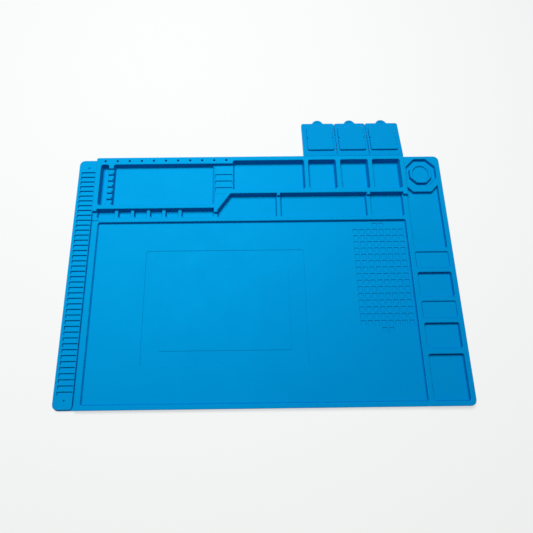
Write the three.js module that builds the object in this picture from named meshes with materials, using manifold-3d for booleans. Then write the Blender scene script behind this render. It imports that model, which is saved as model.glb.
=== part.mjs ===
// Silicone parts sorting tray: a flat repair mat with sorting bins, a tool rack and three flip lids.
// Units are millimetres. The origin is the middle of the resting face, +X is right, +Y is the back
// edge that carries the lids, and +Z is up.
//
// The real tray is one soft moulding. Here it is divided along its own steps and walls, so that each
// named section is a simple solid: one thin base sheet, and the rims, rails, dividers and floors that
// stand on it. Neighbouring sections share flat faces. Each lid is a solid of its own on a hinge.

import * as THREE from 'three';
import { mergeVertices } from 'three/addons/utils/BufferGeometryUtils.js';
import Module from 'manifold-3d';

const wasm = await Module();
wasm.setup();

// ---------------------------------------------------------------- driving dimensions

const MAT = { left: -225, right: 225, front: -150, back: 150, corner: 6.5 };

// Heights of the surfaces above the table.
const LEVEL = {
  base: 2, // top of the base sheet, and the floor of the deep bins
  bay: 3, // floor of the long tool bay
  work: 2.8, // work surface
  channel: 2.3, // frame-shaped channel in the work surface
  rack: 4, // tool rack strip on the left
  shelf: 4.8, // floor of the two shallow bins
  low: 5.5, // rim along the front and left of the work surface
  rest: 6, // grooved tool rest
  mid: 6.5, // second row of bins and the right-hand strip
  tall: 10.5, // back block
};

const DRAFT = Math.tan(THREE.MathUtils.degToRad(8)); // slope of every moulded wall
const CORNER_STEPS = 3; // segments in a rounded corner
const SECTION_MARGIN = 1.2; // how far a section's cut plane lies inside the hollow it borders
const WORK_MARGIN = 1.7; // the same around the work surface, clear of its rounded corners
const CUT_RISE = 1; // how far a cutter runs past the surface it opens

// Tool rack strip with its row of slots, and the groove that parts it from the body.
const RACK = { right: -203.7, slotLeft: -221.5, slotRight: -204.7, slotCount: 42, slotLength: 4 };
const RACK_SLOT_BACK = 133.8;
const RACK_PITCH = 6.44;
const DIMPLE = { radius: 1.5, depth: 1, x: -212.7, ys: [139.2, -139.8] };
const BODY = { left: -201.8, corner: 2 };

// Work surface, its nested frame channel and its screw grid.
const WORK = { left: -195, right: 174.5, front: -145, back: 64.6, corner: 2.5 };
const CHANNEL_OUTER = { left: -135, right: 50, front: -106.5, back: 28.5, corner: 3 };
const CHANNEL_INNER = { left: -115.5, right: 31.5, front: -88.5, back: 8, corner: 2 };
const GRID = { left: 110.5, back: 53.6, pitchX: 7.83, pitchY: 7.9, cell: 5.8, columns: 8, rows: 15 };
const GRID_EXTRA_COLUMNS = [3, 4]; // these columns have one more cell at each end
const LOW_FRAME_BACK = 67; // the low left rim steps up here
const SIDE_FRAME_LEFT = 175; // the low front rim steps up here

// Second row: six small bins, then three wide ones in front of the back block.
const ROW = { smallFront: 70.2, wideFront: 69.4, corner: 2.5 };
const SMALL_BINS = [
  [-196.5, -175.4],
  [-171.2, -156],
  [-152, -136.9],
  [-132.8, -118.3],
  [-114.2, -99],
  [-94.9, -56.5],
];
const WIDE_BINS = [
  [-51.6, 20],
  [25, 129.5],
  [134.5, 174],
];

// Back block: its front edge steps back to the right of a slanted rail.
const BLOCK = { left: -201.8, right: 180, leftFront: 80.5, rightFront: 99.4, corner: 2 };
const BLOCK_SPUR = { width: 4, front: 77 }; // spur at the left end of the front edge
const SLANT = { left: -51.4, front: 77.6, right: -35.8, tipLeft: -55.8, tipFront: 75 };
const BUTTRESS_FRONT = 96.2; // full-height stubs where the wide bins' dividers meet the block
const BAY = { front: 85.6, back: 140.5, slotLeft: -196, slotRight: -185.9, left: -180.2, right: -56.4 };
const REST = { left: -57, right: -33, grooveLeft: -54.6, grooveRight: -33.8, grooveLength: 5.4 };
const REST_INNER_SLANT = { frontX: -52.2, backX: -38.6 };
const SADDLE_NOTCH = { back: 135, pitch: 8.25, count: 6, length: 5.2, floor: 8 };
const REST_GROOVE = { back: 128, pitch: 9, count: 3, depth: 1.4 };
const BIN_ROW = { front: 105, back: 144.6, corner: 2.5 };
const OPEN_BIN = [-33, 55.6];
const LIDDED_BINS = [
  { name: 'left', left: 60.7, right: 95.1 },
  { name: 'middle', left: 100.6, right: 135.1 },
  { name: 'right', left: 140.2, right: 174.9 },
];
const BIT_HOLE = { count: 11, x: -191, pitch: 15, y: 145.3, radius: 1.35, depth: 6, sides: 10 };

// Right-hand strip: bins from front to back, then the octagonal cup seat.
const SIDE = { left: 180.2, right: 219.6, corner: 2.5 };
const SIDE_BINS = [
  { name: 'front', front: -145, back: -95.4, floor: LEVEL.base },
  { name: 'second', front: -89.6, back: -61, floor: LEVEL.base },
  { name: 'third', front: -56, back: -36.3, floor: LEVEL.shelf },
  { name: 'fourth', front: -31.4, back: -2, floor: LEVEL.base },
  { name: 'fifth', front: 3, back: 23, floor: LEVEL.shelf },
];
const LONG_BIN = { front: 27.6, back: 101, chamferLeft: 188.6, chamferRight: 210.4 };
const CUP = { x: 201.3, y: 127.9, flats: 36.6 };
const BOSS = { x: 200.2, y: 126.3, flats: 26, dish: 19.5, dishDepth: 1.7 };

// Lids: thin sheets on a fold line just behind and above the block's back edge.
const HINGE = { y: 150.4, z: LEVEL.tall + 0.2, droop: THREE.MathUtils.degToRad(8.2) };
const HINGE_STRIP = { left: 55.5, right: 180, back: 150.7, bottom: 9.1 };
const LID = { start: 0.9, length: 52, thickness: 2.2, corner: 2.6, webLength: 4.2, webGap: 0.15, gap: 0.3 };
const LID_EDGES = [55.5, 98, 138.1, 180];
const PLUG = { near: 7, far: 44.9, width: 33.6, height: 2.7, corner: 2.2, notch: 1 };
const TAB = { radius: 6.7, centre: 50.5 };

const SILICONE = { color: 0x0595d6, roughness: 0.55, metalness: 0 };

// ---------------------------------------------------------------- outlines

const point = (x, y) => new THREE.Vector2(x, y);

// Corners of a rectangle, counter-clockwise from its front left.
function rectangle(left, right, front, back) {
  return [point(left, front), point(right, front), point(right, back), point(left, back)];
}

// Corners of a regular octagon with flats facing along X and Y.
function octagon(x, y, acrossFlats) {
  const radius = acrossFlats / 2 / Math.cos(Math.PI / 8);
  return Array.from({ length: 8 }, (_, i) => {
    const angle = ((i + 0.5) * Math.PI) / 4;
    return point(x + radius * Math.cos(angle), y + radius * Math.sin(angle));
  });
}

// Moves each edge of a counter-clockwise outline inwards. An edge may have a distance of its own.
function inset(corners, distance) {
  const count = corners.length;
  const edges = corners.map((start, i) => {
    const along = corners[(i + 1) % count].clone().sub(start).normalize();
    const inward = point(-along.y, along.x);
    const shift = Array.isArray(distance) ? distance[i] : distance;
    return { from: start.clone().addScaledVector(inward, shift), along };
  });
  return corners.map((_, i) => {
    const before = edges[(i + count - 1) % count];
    const after = edges[i];
    const turn = before.along.cross(after.along);
    const reach = after.from.clone().sub(before.from).cross(after.along) / turn;
    return before.from.clone().addScaledVector(before.along, reach);
  });
}

// Rounds every corner of an outline. A corner may have a radius of its own, and 0 keeps it sharp.
function rounded(corners, radius) {
  const count = corners.length;
  return corners.flatMap((corner, i) => {
    const r = Array.isArray(radius) ? radius[i] : radius;
    if (r === 0) return [corner.clone()];
    const back = corners[(i + count - 1) % count].clone().sub(corner).normalize();
    const ahead = corners[(i + 1) % count].clone().sub(corner).normalize();
    const half = Math.acos(THREE.MathUtils.clamp(back.dot(ahead), -1, 1)) / 2;
    const centre = corner.clone().add(back.clone().add(ahead).setLength(r / Math.sin(half)));
    const start = corner.clone().addScaledVector(back, r / Math.tan(half)).sub(centre);
    const sweep = Math.sign(ahead.cross(back)) * (Math.PI - 2 * half);
    return Array.from({ length: CORNER_STEPS + 1 }, (_, step) => {
      const turned = start.clone().rotateAround(point(0, 0), (sweep * step) / CORNER_STEPS);
      return turned.add(centre);
    });
  });
}

// ---------------------------------------------------------------- solids

// A closed geometry as a solid that can be joined and cut.
function solid(geometry) {
  const bare = geometry.clone();
  bare.deleteAttribute('normal');
  bare.deleteAttribute('uv');
  const merged = mergeVertices(bare);
  return new wasm.Manifold(
    new wasm.Mesh({
      numProp: 3,
      vertProperties: new Float32Array(merged.attributes.position.array),
      triVerts: new Uint32Array(merged.index.array),
    }),
  );
}

// The geometry of a finished solid.
function geometryOf(shape) {
  const mesh = shape.getMesh();
  const geometry = new THREE.BufferGeometry();
  geometry.setAttribute('position', new THREE.BufferAttribute(mesh.vertProperties, 3));
  geometry.setIndex(new THREE.BufferAttribute(mesh.triVerts, 1));
  geometry.computeVertexNormals();
  return geometry;
}

// An upright prism whose lower outline may differ from its upper one, point for point.
function prism(upper, bottom, top, lower = upper) {
  const options = { depth: top - bottom, bevelEnabled: false };
  const geometry = new THREE.ExtrudeGeometry(new THREE.Shape(upper), options);
  const position = geometry.attributes.position;
  for (let i = 0; i < position.count; i += 1) {
    if (position.getZ(i) === 0) {
      const here = point(position.getX(i), position.getY(i));
      const distances = upper.map((corner) => corner.distanceTo(here));
      const moved = lower[distances.indexOf(Math.min(...distances))];
      position.setXY(i, moved.x, moved.y);
    }
  }
  geometry.translate(0, 0, bottom);
  return solid(geometry);
}

function box(left, right, front, back, bottom, top) {
  const geometry = new THREE.BoxGeometry(right - left, back - front, top - bottom);
  geometry.translate((left + right) / 2, (front + back) / 2, (bottom + top) / 2);
  return solid(geometry);
}

function cylinder(x, y, radius, bottom, top, sides) {
  const geometry = new THREE.CylinderGeometry(radius, radius, top - bottom, sides);
  geometry.rotateX(Math.PI / 2);
  geometry.translate(x, y, (bottom + top) / 2);
  return solid(geometry);
}

// The hollow of a moulded bin: widest at the surface it opens, narrower at its floor.
function hollow(corners, radius, surface, floor) {
  const mouth = rounded(inset(corners, -CUT_RISE * DRAFT), radius);
  const foot = rounded(inset(corners, (surface - floor) * DRAFT), radius);
  return prism(mouth, floor, surface + CUT_RISE, foot);
}

const join = (solids) => solids.reduce((sum, next) => sum.add(next));
const cut = (whole, cutters) => whole.subtract(join(cutters));

// ---------------------------------------------------------------- the moulded mat

function baseSheet() {
  const outline = rounded(rectangle(MAT.left, MAT.right, MAT.front, MAT.back), MAT.corner);
  return prism(outline, 0, LEVEL.base);
}

function toolRack() {
  const outline = rectangle(MAT.left, RACK.right, MAT.front, MAT.back);
  const strip = prism(rounded(outline, [MAT.corner, 3, 0, MAT.corner]), LEVEL.base, LEVEL.rack);
  const slots = Array.from({ length: RACK.slotCount }, (_, i) => {
    const back = RACK_SLOT_BACK - i * RACK_PITCH;
    const front = back - RACK.slotLength;
    return box(RACK.slotLeft, RACK.slotRight, front, back, LEVEL.base - CUT_RISE, LEVEL.rack + CUT_RISE);
  });
  const dimples = DIMPLE.ys.map((y) =>
    cylinder(DIMPLE.x, y, DIMPLE.radius, LEVEL.rack - DIMPLE.depth, LEVEL.rack + CUT_RISE, 10),
  );
  return cut(strip, [...slots, ...dimples]);
}

// Rims and floors up to the second row's level, before the back block is added.
function lowerBody() {
  const outline = rectangle(BODY.left, MAT.right, MAT.front, MAT.back);
  const corners = [BODY.corner, MAT.corner, MAT.corner, BODY.corner];
  const full = prism(rounded(outline, corners), LEVEL.base, LEVEL.mid);
  const lowTop = LEVEL.mid + CUT_RISE;
  const lowBack = WORK.front + WORK.corner;
  const lowLeft = box(BODY.left - 1, WORK.left, MAT.front - 1, LOW_FRAME_BACK, LEVEL.low, lowTop);
  const lowFront = box(BODY.left - 1, SIDE_FRAME_LEFT, MAT.front - 1, lowBack, LEVEL.low, lowTop);
  const recess = rectangle(WORK.left, WORK.right, WORK.front, WORK.back);
  const hollows = [
    hollow(recess, WORK.corner, LEVEL.mid, LEVEL.work),
    ...smallBinHollows(),
    ...wideBinHollows(),
    ...sideHollows(),
    ...frameChannel(),
    ...gridCells(),
  ];
  return cut(full, [lowLeft, lowFront, ...hollows]);
}

function frameChannel() {
  const ring = ({ left, right, front, back, corner }) =>
    prism(rounded(rectangle(left, right, front, back), corner), LEVEL.channel, LEVEL.work + CUT_RISE);
  return [ring(CHANNEL_OUTER).subtract(ring(CHANNEL_INNER))];
}

function gridCells() {
  const cells = [];
  for (let column = 0; column < GRID.columns; column += 1) {
    const extra = GRID_EXTRA_COLUMNS.includes(column) ? 1 : 0;
    for (let row = -extra; row < GRID.rows + extra; row += 1) {
      const left = GRID.left + column * GRID.pitchX;
      const back = GRID.back - row * GRID.pitchY;
      const front = back - GRID.cell;
      cells.push(box(left, left + GRID.cell, front, back, LEVEL.base - CUT_RISE, LEVEL.work + CUT_RISE));
    }
  }
  return cells;
}

function smallBinHollows() {
  const back = BLOCK.leftFront + 0.5;
  return SMALL_BINS.map(([left, right]) =>
    hollow(rectangle(left, right, ROW.smallFront, back), ROW.corner, LEVEL.mid, LEVEL.base),
  );
}

function wideBinHollows() {
  const back = BLOCK.rightFront + 0.5;
  const [first, ...others] = WIDE_BINS;
  const slanted = [
    point(first[0], ROW.wideFront),
    point(first[1], ROW.wideFront),
    point(first[1], back),
    point(SLANT.right - 1, back),
    point(first[0], SLANT.front + 0.5),
  ];
  const straight = others.map(([left, right]) => rectangle(left, right, ROW.wideFront, back));
  return [slanted, ...straight].map((corners) => hollow(corners, ROW.corner, LEVEL.mid, LEVEL.base));
}

function sideHollows() {
  const bins = SIDE_BINS.map(({ front, back, floor }) =>
    hollow(rectangle(SIDE.left, SIDE.right, front, back), SIDE.corner, LEVEL.mid, floor),
  );
  const longBin = [
    point(SIDE.left, LONG_BIN.front),
    point(SIDE.right, LONG_BIN.front),
    point(SIDE.right, LONG_BIN.back + SIDE.right - LONG_BIN.chamferRight),
    point(LONG_BIN.chamferRight, LONG_BIN.back),
    point(LONG_BIN.chamferLeft, LONG_BIN.back),
    point(SIDE.left, LONG_BIN.back + LONG_BIN.chamferLeft - SIDE.left),
  ];
  const radii = [SIDE.corner, SIDE.corner, 0, 0, 0, 0];
  const cup = octagon(CUP.x, CUP.y, CUP.flats);
  return [...bins, hollow(longBin, radii, LEVEL.mid, LEVEL.base), hollow(cup, 0, LEVEL.mid, LEVEL.base)];
}

// The tall block along the back, still solid.
function backBlock() {
  const buttresses = (left, right) => [
    point(left, BLOCK.rightFront),
    point(left, BUTTRESS_FRONT),
    point(right, BUTTRESS_FRONT),
    point(right, BLOCK.rightFront),
  ];
  const spurRight = BLOCK.left + BLOCK_SPUR.width;
  const corners = [
    point(BLOCK.left, BLOCK_SPUR.front),
    point(spurRight, BLOCK_SPUR.front),
    point(spurRight, BLOCK.leftFront),
    point(SLANT.tipLeft, BLOCK.leftFront),
    point(SLANT.tipLeft, SLANT.tipFront),
    point(SLANT.left, SLANT.tipFront),
    point(SLANT.left, SLANT.front),
    point(SLANT.right, BLOCK.rightFront),
    ...buttresses(WIDE_BINS[0][1] + 0.6, WIDE_BINS[1][0] - 0.6),
    ...buttresses(WIDE_BINS[1][1] + 0.6, WIDE_BINS[2][0] - 0.6),
    point(WIDE_BINS[2][1] + 0.6, BLOCK.rightFront),
    point(WIDE_BINS[2][1] + 0.6, BUTTRESS_FRONT),
    point(BLOCK.right, BUTTRESS_FRONT),
    point(BLOCK.right, MAT.back),
    point(BLOCK.left, MAT.back),
  ];
  const slope = (LEVEL.tall - LEVEL.base) * DRAFT;
  const drafts = corners.map((corner, i) => {
    const isBackEdge = corner.y === MAT.back && corners[(i + 1) % corners.length].y === MAT.back;
    return isBackEdge ? 0 : -slope;
  });
  const radii = corners.map((_, i) => (i === corners.length - 1 ? BLOCK.corner : 0));
  const upper = rounded(corners, radii);
  const lower = rounded(inset(corners, drafts), radii);
  return prism(upper, LEVEL.base, LEVEL.tall, lower);
}

// The block's tool bay, tool rest, bins and bit holes, which reach down through the body below it.
function blockHollows() {
  return [...bayHollows(), ...toolRestHollows(), ...binRowHollows(), ...bitHoles()];
}

// Back edges of a row of notches or grooves, from the back of the bay to its front.
function rowBacks({ back, pitch, count }) {
  return Array.from({ length: count }, (_, i) => back - i * pitch);
}

function bayHollows() {
  const slot = rectangle(BAY.slotLeft, BAY.slotRight, BAY.front, BAY.back);
  const bay = rectangle(BAY.left, BAY.right, BAY.front, BAY.back);
  const notches = rowBacks(SADDLE_NOTCH).map((back) => {
    const front = back - SADDLE_NOTCH.length;
    return box(BAY.slotRight - 2, BAY.left + 2, front, back, SADDLE_NOTCH.floor, LEVEL.tall + CUT_RISE);
  });
  return [
    hollow(slot, BIN_ROW.corner, LEVEL.tall, LEVEL.base),
    hollow(bay, BIN_ROW.corner, LEVEL.tall, LEVEL.bay),
    ...notches,
  ];
}

function toolRestHollows() {
  const floor = [
    point(BAY.right - BIN_ROW.corner - 1, BAY.front),
    point(REST_INNER_SLANT.frontX, BAY.front),
    point(REST_INNER_SLANT.backX, BIN_ROW.front),
    point(REST.right + BIN_ROW.corner + 1, BIN_ROW.front),
    point(REST.right + BIN_ROW.corner + 1, BAY.back),
    point(BAY.right - BIN_ROW.corner - 1, BAY.back),
  ];
  const grooves = rowBacks(REST_GROOVE).map((back) => {
    const front = back - REST.grooveLength;
    const bottom = LEVEL.rest - REST_GROOVE.depth;
    return box(REST.grooveLeft, REST.grooveRight, front, back, bottom, LEVEL.rest + CUT_RISE);
  });
  return [hollow(floor, 0, LEVEL.tall, LEVEL.rest), ...grooves];
}

function binRowHollows() {
  const bins = [OPEN_BIN, ...LIDDED_BINS.map(({ left, right }) => [left, right])];
  return bins.map(([left, right]) => {
    const mouth = rectangle(left, right, BIN_ROW.front, BIN_ROW.back);
    return hollow(mouth, BIN_ROW.corner, LEVEL.tall, LEVEL.base);
  });
}

function bitHoles() {
  return Array.from({ length: BIT_HOLE.count }, (_, i) => {
    const x = BIT_HOLE.x + i * BIT_HOLE.pitch;
    const floor = LEVEL.tall - BIT_HOLE.depth;
    return cylinder(x, BIT_HOLE.y, BIT_HOLE.radius, floor, LEVEL.tall + CUT_RISE, BIT_HOLE.sides);
  });
}

// Raised octagon in the cup seat, with a shallow dish in its top.
function cupBoss() {
  const top = octagon(BOSS.x, BOSS.y, BOSS.flats);
  const foot = inset(top, -(LEVEL.mid - LEVEL.base) * DRAFT);
  const dish = cylinder(BOSS.x, BOSS.y, BOSS.dish / 2, LEVEL.mid - BOSS.dishDepth, LEVEL.mid + CUT_RISE, 16);
  return cut(prism(top, LEVEL.base, LEVEL.mid, foot), [dish]);
}

// ---------------------------------------------------------------- named sections of the mat

const middleOf = ([low, high]) => (low + high) / 2;

// One upright box of the plan, as the cutter that lifts a section out of the moulded body.
function region(left, right, front, back, bottom = LEVEL.base, top = LEVEL.tall + CUT_RISE) {
  return box(left, right, front, back, bottom, top);
}

// Cut planes between the sections. Each lies just inside a hollow, clear of its sloping wall.
const m = SECTION_MARGIN;
const PLANE = {
  workLeft: WORK.left + WORK_MARGIN,
  workRight: WORK.right - WORK_MARGIN,
  workFront: WORK.front + WORK_MARGIN,
  workBack: WORK.back - WORK_MARGIN,
  rowLeft: SMALL_BINS[0][0] + 0.8,
  rowFront: ROW.smallFront + 0.7,
  smallBack: BLOCK.leftFront - m,
  buttress: BUTTRESS_FRONT,
  gridLeft: GRID.left - 1.5,
  gridRight: GRID.left + GRID.columns * GRID.pitchX - 1,
  gridFront: GRID.back - (GRID.rows + 1) * GRID.pitchY - 1,
  gridBack: GRID.back + GRID.pitchY + 1,
  slotLeft: BAY.slotLeft + 1.3,
  saddleLeft: BAY.slotRight - 1.4,
  saddleRight: BAY.left + m,
  bayFront: BAY.front + m,
  bayBack: BAY.back - m,
  restLeft: REST.left - 1.8,
  restRight: REST.right + 1.4,
  binFront: BIN_ROW.front + m,
  binBack: BIN_ROW.back - m,
  binRight: LIDDED_BINS[2].right - 1.4,
  sideLeft: SIDE.left + 1,
  sideRight: SIDE.right - 1,
  sideBack: LONG_BIN.back - 1,
};

function workSections() {
  const p = PLANE;
  const grid = region(p.gridLeft, p.gridRight, p.gridFront, p.gridBack);
  return {
    work_surface: region(p.workLeft, p.workRight, p.workFront, p.workBack).subtract(grid),
    screw_grid: grid,
    work_left_rim: region(BODY.left, p.workLeft, MAT.front, p.workBack),
    work_front_rim: region(p.workLeft, p.workRight, MAT.front, p.workFront),
    work_back_rim: region(p.rowLeft, p.workRight, p.workBack, p.rowFront),
  };
}

function rowSections() {
  const p = PLANE;
  const sections = {
    small_bin_left_wall: region(BODY.left, p.rowLeft, p.workBack, BLOCK_SPUR.front),
  };
  const smallMiddles = SMALL_BINS.map(middleOf);
  smallMiddles.slice(1).forEach((right, i) => {
    const divider = region(smallMiddles[i], right, p.rowFront, p.smallBack);
    sections[`small_bin_divider_${i + 1}`] = divider;
  });
  const wideMiddles = WIDE_BINS.map(middleOf);
  wideMiddles.slice(1).forEach((right, i) => {
    const divider = region(wideMiddles[i], right, p.rowFront, p.buttress);
    sections[`wide_bin_divider_${i + 1}`] = divider;
  });
  return sections;
}

function blockSections() {
  const p = PLANE;
  const bins = [OPEN_BIN, ...LIDDED_BINS.map(({ left, right }) => [left, right])].map(middleOf);
  const sections = {
    bay_left_wall: region(BODY.left, p.slotLeft, BLOCK_SPUR.front, MAT.back),
    bay_front_rail: region(p.slotLeft, p.restLeft, p.smallBack, p.bayFront),
    bay_floor: region(p.saddleRight, p.restLeft, p.bayFront, p.bayBack),
    tool_saddle: region(p.saddleLeft, p.saddleRight, p.bayFront, p.bayBack),
    bit_rail: region(p.slotLeft, p.restRight, p.bayBack, MAT.back),
    tool_rest: region(p.restLeft, p.restRight, p.rowFront, p.bayBack, LEVEL.base, LEVEL.rest),
    slanted_rail: region(p.restLeft, p.restRight, p.rowFront, p.bayBack, LEVEL.rest),
    bin_front_rail: region(p.restRight, p.binRight, p.buttress, p.binFront),
    bin_back_rail: region(p.restRight, p.binRight, p.binBack, MAT.back),
    bin_right_wall: region(p.binRight, p.sideLeft, p.buttress, MAT.back),
  };
  bins.slice(1).forEach((right, i) => {
    sections[`bin_divider_${i + 1}`] = region(bins[i], right, p.binFront, p.binBack);
  });
  return sections;
}

function sideSections() {
  const p = PLANE;
  const sections = {
    side_inner_rail: region(p.workRight, p.sideLeft, MAT.front, p.buttress),
    side_outer_rail: region(p.sideRight, MAT.right, MAT.front, p.sideBack),
    side_front_rail: region(p.sideLeft, p.sideRight, MAT.front, SIDE_BINS[0].front + 1),
    cup_seat: region(p.sideLeft, MAT.right, p.sideBack, MAT.back),
  };
  SIDE_BINS.forEach(({ front, back, floor }, i) => {
    const next = i + 1 < SIDE_BINS.length ? SIDE_BINS[i + 1].front : LONG_BIN.front;
    sections[`side_divider_${i + 1}`] = region(p.sideLeft, p.sideRight, back - 1, next + 1);
    if (floor === LEVEL.shelf) {
      sections[`shallow_floor_${i + 1}`] = region(p.sideLeft, p.sideRight, front + 1, back - 1);
    }
  });
  return sections;
}

// ---------------------------------------------------------------- lids

// A lid lies in its own frame: Y runs from the fold line to the tab, and Z = 0 is its plug side.
function lid(index) {
  const first = LID_EDGES[index];
  const last = LID_EDGES[index + 1];
  const isFirst = index === 0;
  const isLast = index === LIDDED_BINS.length - 1;
  const left = first + (isFirst ? 0 : LID.gap);
  const right = last - (isLast ? 0 : LID.gap);
  const webLeft = first + (isFirst ? 0 : LID.webGap);
  const webRight = last - (isLast ? 0 : LID.webGap);
  const outline = [
    point(webLeft, LID.start),
    point(webRight, LID.start),
    ...(isLast ? [] : [point(webRight, LID.webLength), point(right, LID.webLength + 0.4)]),
    point(right, LID.length),
    point(left, LID.length),
    ...(isFirst ? [] : [point(left, LID.webLength + 0.4), point(webLeft, LID.webLength)]),
  ];
  const isFarCorner = (corner) => corner.y === LID.length;
  const radii = outline.map((corner) => (isFarCorner(corner) ? LID.corner : 0));
  const sheet = prism(rounded(outline, radii), -LID.thickness, 0);
  const tab = cylinder(middleOf([left, right]), TAB.centre, TAB.radius, -LID.thickness, 0, 24);
  const bin = LIDDED_BINS[index];
  const plugLeft = middleOf([bin.left, bin.right]) - PLUG.width / 2;
  const plugRight = plugLeft + PLUG.width;
  const foot = rectangle(plugLeft, plugRight, PLUG.near, PLUG.far);
  const face = rounded(inset(foot, PLUG.height * DRAFT), PLUG.corner);
  const footing = -LID.thickness / 2;
  const skirt = rounded(inset(foot, footing * DRAFT), PLUG.corner);
  const plug = prism(face, footing, PLUG.height, skirt);
  const notches = [plugLeft, plugRight].map((x) =>
    cylinder(x, middleOf([PLUG.near, PLUG.far]), PLUG.notch, 0, PLUG.height + CUT_RISE, 12),
  );
  return join([sheet, tab, plug]).subtract(join(notches));
}

function hingeStrip() {
  return box(HINGE_STRIP.left, HINGE_STRIP.right, MAT.back, HINGE_STRIP.back, HINGE_STRIP.bottom, LEVEL.tall);
}

// ---------------------------------------------------------------- assembly

function part(name, shape) {
  const mesh = new THREE.Mesh(geometryOf(shape), new THREE.MeshStandardMaterial(SILICONE));
  mesh.name = name;
  return mesh;
}

const tray = new THREE.Group();
const mat = cut(lowerBody().add(backBlock()), blockHollows());
const sections = { ...workSections(), ...rowSections(), ...blockSections(), ...sideSections() };

tray.add(part('base_sheet', baseSheet()));
tray.add(part('tool_rack', toolRack()));
for (const [name, cutter] of Object.entries(sections)) {
  tray.add(part(name, mat.intersect(cutter)));
}
tray.add(part('cup_boss', cupBoss()));
tray.add(part('lid_hinge_strip', hingeStrip()));

const lids = new THREE.Group();
lids.position.set(0, HINGE.y, HINGE.z);
lids.rotation.x = -HINGE.droop;
LIDDED_BINS.forEach(({ name }, index) => {
  lids.add(part(`lid_${name}`, lid(index)));
});
tray.add(lids);

export default tray;
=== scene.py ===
"""Silicone parts sorting tray.

The mat is one moulding with a tool rack strip on its left edge, a screw grid and channel in the work
surface, two rows of bins, a tool bay and a cup seat. Three soft lids fold over the back bins on
webs of the same silicone. Shapes are drawn in millimetres and turned into metres when they are done.
"""

import math

import bmesh
import bpy
from mathutils import Matrix, Vector


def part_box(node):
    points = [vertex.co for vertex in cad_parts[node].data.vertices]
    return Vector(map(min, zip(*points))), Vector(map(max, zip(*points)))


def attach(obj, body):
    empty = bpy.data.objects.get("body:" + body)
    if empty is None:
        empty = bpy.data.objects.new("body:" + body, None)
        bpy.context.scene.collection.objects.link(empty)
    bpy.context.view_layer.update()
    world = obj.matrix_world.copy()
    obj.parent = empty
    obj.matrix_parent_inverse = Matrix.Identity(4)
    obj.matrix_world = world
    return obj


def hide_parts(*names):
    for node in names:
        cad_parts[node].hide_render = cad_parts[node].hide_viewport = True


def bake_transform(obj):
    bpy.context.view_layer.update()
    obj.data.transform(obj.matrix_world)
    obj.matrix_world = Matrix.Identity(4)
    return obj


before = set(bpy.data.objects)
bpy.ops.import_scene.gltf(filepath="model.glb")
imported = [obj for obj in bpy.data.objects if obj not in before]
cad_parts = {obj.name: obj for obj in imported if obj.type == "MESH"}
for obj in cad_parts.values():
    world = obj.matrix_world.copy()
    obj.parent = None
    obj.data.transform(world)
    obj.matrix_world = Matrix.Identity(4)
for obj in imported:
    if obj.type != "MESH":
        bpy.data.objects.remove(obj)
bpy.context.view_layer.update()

MM = 0.001
DRAFT = math.tan(math.radians(8))  # slope of every moulded wall
RISE = 1.5  # how far a cutter stands above the surface it opens
CORNER_STEPS = 5
LEVEL_FACE = 0.995  # faces at least this level are shaded flat
STEEP_FACE = 0.25  # faces less level than this are walls
WALL_SHADE, CORNER_SHADE = -0.8, -0.9  # painted shade on walls and in inner corners, kept as relief values
SHARP = math.radians(38)  # edges bent more than this stay crisp
ROUND_STEPS = 4
STEEP = 82  # a wall's angle to the table, where each rounding ends
ARC_HEIGHT = 1 - math.cos(math.radians(STEEP))  # height of such a rounding for a radius of 1


# ---------------------------------------------------------------- sizes, in millimetres


def box_mm(node):
    low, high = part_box(node)
    return [v / MM for v in low], [v / MM for v in high]


BASE_LOW, BASE_HIGH = box_mm("base_sheet")
LEFT, FRONT = BASE_LOW[0], BASE_LOW[1]
RIGHT, BACK = BASE_HIGH[0], BASE_HIGH[1]
FLOOR = BASE_HIGH[2]  # floor of the deep bins
RACK_TOP = box_mm("tool_rack")[1][2]
LOW = 5.5  # low rim round the work surface
MID = box_mm("side_outer_rail")[1][2]  # second row and right-hand strip
TALL = box_mm("bin_front_rail")[1][2]  # back block
WORK_FLOOR = 2.8
BAY_FLOOR = 3.0
REST = 6.0  # tool rest at the right end of the bay
REST_GAP = 4.6  # floor of the gaps in the walls at both sides of the rest
SHELF = 4.8  # floor of the shallow bins
CHANNEL = 2.3
MAT_CORNER = 6.5

RACK_RIGHT = box_mm("tool_rack")[1][0] - 0.2
RACK_SLOT = {"left": -221.5, "right": -204.7, "back": 133.8, "length": 4.0, "pitch": 6.44, "count": 42}
SLOT_LIFT = 0.04  # keeps the rack's slot floors clear of the base sheet's top
SMALL_CUT_BACK = 90  # the front rows are cut back to here, and the block then forms their back walls
WIDE_CUT_BACK = 108
RACK_DIMPLES = [(-212.7, 139.2), (-212.7, -139.8)]
BODY_LEFT = -201.8

WORK = (-195.0, 174.5, -145.0, 64.6)
CHANNEL_OUTER = (-135.0, 50.0, -106.5, 28.5)
CHANNEL_INNER = (-115.5, 31.5, -88.5, 8.0)
GRID = {
    "left": 110.5,
    "back": 53.6,
    "pitch_x": 7.83,
    "pitch_y": 7.9,
    "cell": 5.8,
    "columns": 8,
    "rows": 15,
}
GRID_LONG_COLUMNS = (3, 4)
LOW_RIM_BACK = 67.0
LOW_RIM_RIGHT = 175.0

SMALL_FRONT = 70.2
SMALL_BINS = [
    (-196.5, -175.4),
    (-171.2, -156.0),
    (-152.0, -136.9),
    (-132.8, -118.3),
    (-114.2, -99.0),
    (-94.9, -56.5),
]
WIDE_FRONT = 69.4
WIDE_BINS = [(-51.6, 20.0), (25.0, 129.5), (134.5, 174.0)]

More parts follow.
